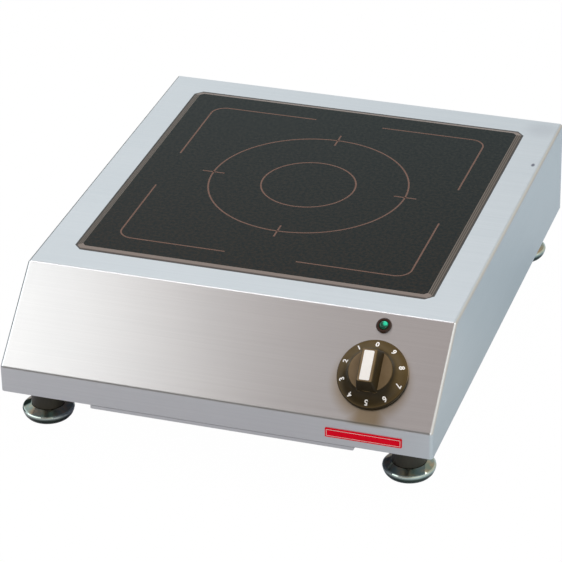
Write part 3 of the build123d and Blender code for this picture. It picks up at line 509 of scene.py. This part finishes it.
# Plastics, rubber and the like. Slot: name, dark, light, roughness, grain per metre.
MOULDED_LOOKS = {
    "silicone": ("black_silicone", (0.02, 0.02, 0.02), (0.04, 0.04, 0.038), (0.45, 0.6)),
    "brown_bezel": ("brown_bezel", (0.020, 0.007, 0.004), (0.035, 0.013, 0.007), (0.15, 0.25)),
    "white_plastic": ("white_plastic", (0.92, 0.92, 0.92), (0.97, 0.97, 0.97), (0.3, 0.4)),
    "black_plastic": ("black_plastic", (0.018, 0.018, 0.018), (0.035, 0.035, 0.036)),
    "black_sleeve": ("black_sleeve", (0.019, 0.018, 0.009), (0.034, 0.030, 0.016), (0.3, 0.42)),
    "pad_rubber": ("pad_rubber", (0.015, 0.015, 0.015), (0.03, 0.03, 0.03), (0.7, 0.85)),
    "ferrite": ("ferrite", (0.03, 0.03, 0.032), (0.06, 0.06, 0.06), (0.6, 0.8)),
    "mica": ("mica", (0.50, 0.46, 0.36), (0.66, 0.62, 0.5), (0.5, 0.7), 300),
    "capacitor_film": ("capacitor_case", (0.14, 0.15, 0.18), (0.2, 0.22, 0.25), (0.5, 0.6)),
    "choke_winding": ("choke_winding", (0.30, 0.10, 0.03), (0.48, 0.18, 0.05), (0.25, 0.4)),
    "white_sleeving": ("glass_sleeving", (0.62, 0.6, 0.55), (0.78, 0.76, 0.72), (0.6, 0.8)),
}

# Metals other than the sheet and the chrome, in the same order.
METAL_LOOKS = {
    "steel_fasteners": ("satin_steel", (0.52, 0.52, 0.53), (0.66, 0.66, 0.67), (0.28, 0.42), 900),
    "label": ("label_foil", (0.55, 0.56, 0.57), (0.68, 0.69, 0.70), (0.4, 0.5)),
    "brass": ("brass", (0.55, 0.38, 0.15), (0.72, 0.52, 0.25)),
    "aluminium": ("aluminium", (0.55, 0.56, 0.57), (0.7, 0.71, 0.72)),
    "copper": ("varnished_copper", (0.42, 0.17, 0.08), (0.62, 0.28, 0.15)),
}


def dress_nodes():
    """Give every CAD node its slot's material."""
    by_slot = {
        "stainless": brushed_steel(),
        "ceramic_glass": ceramic_glass(),
        "red_badge": red_enamel(),
        "green_lens": lens_green(),
        "knob_plastic": knob_plastic(),
        "circuit_board": circuit_green(),
        "chrome": chrome(),
        **{slot: moulded(*look) for slot, look in MOULDED_LOOKS.items()},
        **{slot: metal(*look) for slot, look in METAL_LOOKS.items()},
    }
    for part in frame["record"]["subparts"]:
        node = nodes[part["node"]]
        node.data.materials.clear()
        node.data.materials.append(by_slot[part["material_slot"]])
    return by_slot


# ---- drawn detail -----------------------------------------------------------------------------
def piece_from(name, build, material, body):
    """A mesh piece made by build(bmesh), with its material, riding on a body."""
    mesh = bpy.data.meshes.new(name)
    work = bmesh.new()
    build(work)
    work.normal_update()
    work.to_mesh(mesh)
    work.free()
    piece = bpy.data.objects.new(name, mesh)
    bpy.context.scene.collection.objects.link(piece)
    mesh.materials.append(material)
    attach(piece, body)


def ribbon(work, points, z, closed=False):
    """A flat printed line along (x, y) points."""
    count = len(points)
    left, right = [], []
    for i, point in enumerate(points):
        before = points[i - 1] if (closed or i > 0) else point
        after = points[(i + 1) % count] if (closed or i < count - 1) else point
        run = (Vector(after) - Vector(before)).normalized()
        side = Vector((-run.y, run.x)) * PRINT_LINE / 2
        left.append(work.verts.new((point[0] + side.x, point[1] + side.y, z)))
        right.append(work.verts.new((point[0] - side.x, point[1] - side.y, z)))
    for i in range(count if closed else count - 1):
        j = (i + 1) % count
        work.faces.new((left[i], right[i], right[j], left[j]))


def arc(centre, radius, start, end, steps):
    """Points on an arc, angles in degrees."""
    angles = [math.radians(start + (end - start) * i / steps) for i in range(steps + 1)]
    return [(centre[0] + radius * math.cos(a), centre[1] + radius * math.sin(a)) for a in angles]


def make_print(material):
    """Generic cooking-zone marks: two rings, four ticks and four rounded corner brackets."""
    z = glass_high.z + PRINT_LIFT
    zone = Vector((ZONE.x, ZONE.y))

    def build(work):
        for radius in (ZONE_RADIUS, CORE_RADIUS):
            ribbon(work, arc(zone, radius, 0, 360, RING_STEPS)[:-1], z, closed=True)
        for quarter in range(4):
            angle = math.radians(90 * quarter)
            out = Vector((math.cos(angle), math.sin(angle)))
            half_tick = out * TICK_LENGTH / 2
            ring_point = zone + out * ZONE_RADIUS
            ribbon(work, [ring_point - half_tick, ring_point + half_tick], z)
        reach = GLASS_HALF.x - BRACKET_INSET
        for sx, sy in ((1, 1), (-1, 1), (-1, -1), (1, -1)):
            corner = Vector((GLASS_MID.x + sx * reach, GLASS_MID.y + sy * reach))
            turn = corner - Vector((sx, sy)) * BRACKET_ROUND
            start, end = (0, 90 * sy) if sx > 0 else (180, 180 - 90 * sy)
            points = [(corner.x, corner.y - sy * BRACKET_LENGTH)]
            points += arc(turn, BRACKET_ROUND, start, end, BRACKET_STEPS)
            points += [(corner.x - sx * BRACKET_LENGTH, corner.y)]
            ribbon(work, points, z)

    piece_from("zone_print", build, material, "hob")


def make_keyline(material):
    """A thin white line just inside the red plate's edge."""
    y = badge_low.y - PRINT_LIFT
    centre = middle(badge_low, badge_high)
    half = (badge_high - badge_low) / 2

    def rectangle(work, inset):
        corners = ((-1, -1), (1, -1), (1, 1), (-1, 1))
        reach_x, reach_z = half.x - inset, half.z - inset
        return [
            work.verts.new((centre.x + sx * reach_x, y, centre.z + sz * reach_z))
            for sx, sz in corners
        ]

    def build(work):
        outer = rectangle(work, KEYLINE_INSET)
        inner = rectangle(work, KEYLINE_INSET + KEYLINE)
        for i in range(4):
            j = (i + 1) % 4
            work.faces.new((outer[i], outer[j], inner[j], inner[i]))

    piece_from("badge_keyline", build, material, "hob")


def digit_outline(number):
    """A flat mesh of one digit, centred on the origin."""
    curve = bpy.data.curves.new(f"outline_{number}", "FONT")
    curve.body = str(number)
    curve.size = DIGIT_HEIGHT / CAP_HEIGHT
    curve.align_x = "CENTER"
    curve.align_y = "CENTER"
    curve.offset = DIGIT_BOLDEN
    curve.resolution_u = 6
    text = bpy.data.objects.new(f"outline_{number}", curve)
    bpy.context.scene.collection.objects.link(text)
    bpy.context.view_layer.update()
    depsgraph = bpy.context.evaluated_depsgraph_get()
    outline = bpy.data.meshes.new_from_object(text.evaluated_get(depsgraph))
    bpy.data.objects.remove(text)
    return outline


def make_digit(number, dial_surface, material):
    """One number printed on the dial's sloping skirt, laid onto its surface."""
    outline = digit_outline(number)
    angle = math.radians(360 / DIGIT_COUNT * number + DIAL_TURN)
    outward = -X_AXIS * math.sin(angle) + KNOB_UP * math.cos(angle)
    sideways = outward.cross(KNOB_OUT)
    above = KNOB_OUT * DIAL_RADIUS

    def build(work):
        work.from_mesh(outline)
        bmesh.ops.triangulate(work, faces=work.faces)
        bmesh.ops.subdivide_edges(work, edges=work.edges, cuts=1)
        for vert in work.verts:
            flat = KNOB_CENTRE + sideways * vert.co.x + outward * (DIGIT_CIRCLE + vert.co.y)
            hit, normal, _, _ = dial_surface.ray_cast(flat + above, -KNOB_OUT)
            vert.co = hit + normal * DIGIT_LIFT

    piece_from(f"digit_{number}", build, material, "knob")


def make_digits(material):
    """The numbers 0 to 9 round the dial."""
    dial = nodes["knob_dial"]
    surface = BVHTree.FromObject(dial, bpy.context.evaluated_depsgraph_get())
    for number in range(DIGIT_COUNT):
        make_digit(number, surface, material)


# ---- stage and light --------------------------------------------------------------------------
def make_floor():
    """A pale floor, as low as the screwed-out feet reach, that looks white from the camera. What
    polished metal sees of it is cooler on the right, under the window there, as the side wall
    shows."""
    bpy.ops.mesh.primitive_plane_add(size=FLOOR_SIZE, location=(0, 0, -FOOT_TRAVEL))
    floor = bpy.context.object
    floor.name = "floor"
    material, n = new_material("floor_white")
    path = n.add("ShaderNodeLightPath")
    diffuse = n.add("ShaderNodeBsdfDiffuse")
    n.value(diffuse.inputs["Color"], (0.54, 0.54, 0.55))
    white = n.add("ShaderNodeEmission")
    white.inputs["Strength"].default_value = 1.008  # over 1, to make up for the grey mixed in
    for_camera = n.add("ShaderNodeMixShader")
    n.value(for_camera.inputs["Fac"], n.multiply(path.outputs["Is Camera Ray"], 0.985))
    n.link(diffuse.outputs[0], for_camera.inputs[1])
    n.link(white.outputs[0], for_camera.inputs[2])

    x, y, _ = n.split(n.mapped())
    beside = n.span(x, 0.08, 0.28)
    behind = n.span(y, -0.05, 0.20)
    far = n.span(x, 0.45, 0.60)
    right = n.mix(behind, (0.105, 0.195, 0.24), (0.0, 0.105, 0.165))
    tint = n.mix(beside, (0.035, 0.032, 0.058), right)
    tint = n.mix(far, tint, (0.10, 0.05, 0.02))
    mirrored = n.add("ShaderNodeEmission")
    n.link(tint, mirrored.inputs["Color"])
    n.link(path.outputs["Is Glossy Ray"], mirrored.inputs["Strength"])
    both = n.add("ShaderNodeAddShader")
    n.link(for_camera.outputs[0], both.inputs[0])
    n.link(mirrored.outputs[0], both.inputs[1])
    n.output(both)
    floor.data.materials.append(material)


def make_world():
    """A plain studio: pale behind, warmer and dimmer overhead, dark low in front and at the far
    left, cream to the right with a bright window there. The camera itself sees white."""
    world = bpy.data.worlds.new("studio")
    bpy.context.scene.world = world
    world.use_nodes = True
    n = Nodes(world.node_tree)
    x, y, z = n.split(n.add("ShaderNodeTexCoord").outputs["Generated"])
    backdrop = n.mix(n.span(x, -0.45, -0.05), (1.05, 1.11, 1.13), (0.75, 0.82, 0.845))
    overhead = (0.51, 0.42, 0.385)
    low_front = (0.17, 0.145, 0.12)
    low_left = (0.03, 0.05, 0.05)
    cream = (0.74, 0.68, 0.58)
    window = n.mix(n.span(z, 0.15, 0.4), (0.80, 0.72, 0.58), (1.05, 1.0, 0.92))
    front = n.span(n.math("ADD", y, n.multiply(z, 0.55)), -0.05, -0.45)
    left = n.multiply(n.span(x, -0.42, -0.55), n.span(z, 0.42, 0.28))
    right = n.span(x, 0.05, 0.35)
    pane = n.multiply(n.span(x, 0.25, 0.5), n.span(y, 0.5, 0.2))
    pane = n.multiply(pane, n.span(z, 0.0, 0.1))
    colour = n.mix(n.span(z, 0.55, 0.85), backdrop, overhead)
    colour = n.mix(front, colour, low_front)
    colour = n.mix(left, colour, low_left)
    colour = n.mix(right, colour, cream)
    colour = n.mix(pane, colour, window)
    seen = n.add("ShaderNodeLightPath").outputs["Is Camera Ray"]
    background = n.add("ShaderNodeBackground")
    n.link(n.mix(seen, colour, (1, 1, 1)), background.inputs["Color"])
    n.output(background, "World")


def softbox(name, location, aim, size, power, colour=(1, 1, 1)):
    """A rectangular area lamp pointed at a spot."""
    data = bpy.data.lights.new(name, "AREA")
    data.shape = "RECTANGLE"
    data.size, data.size_y = size
    data.energy = power
    data.color = colour
    lamp = bpy.data.objects.new(name, data)
    bpy.context.scene.collection.objects.link(lamp)
    lamp.location = location
    lamp.rotation_euler = (Vector(aim) - Vector(location)).to_track_quat("-Z", "Y").to_euler()


def make_lights():
    """Four soft lamps: two broad ones left and above, two that lift the right side and the front."""
    softbox("left_window", (-0.94, -0.62, 1.0), (-0.2, -0.2, 0.1), (1.1, 0.9), 3.9, (1, 1, 0.955))
    softbox("top_box", (-0.42, 0.30, 1.55), (0, -0.17, 0.13), (1.4, 0.42), 5.0)
    softbox("right_box", (0.8, 0.15, 1.15), (0.14, -0.2, 0.1), (0.5, 0.5), 2.8)
    softbox("front_box", (1.1, -1.7, 1.1), (0.05, -0.2, 0.05), (1.0, 1.0), 4.4)


make_camera()
materials = dress_nodes()
make_print(copper_print())
make_keyline(materials["white_plastic"])
make_digits(materials["white_plastic"])
make_floor()
make_world()
make_lights()
bpy.context.scene.view_settings.view_transform = "Standard"
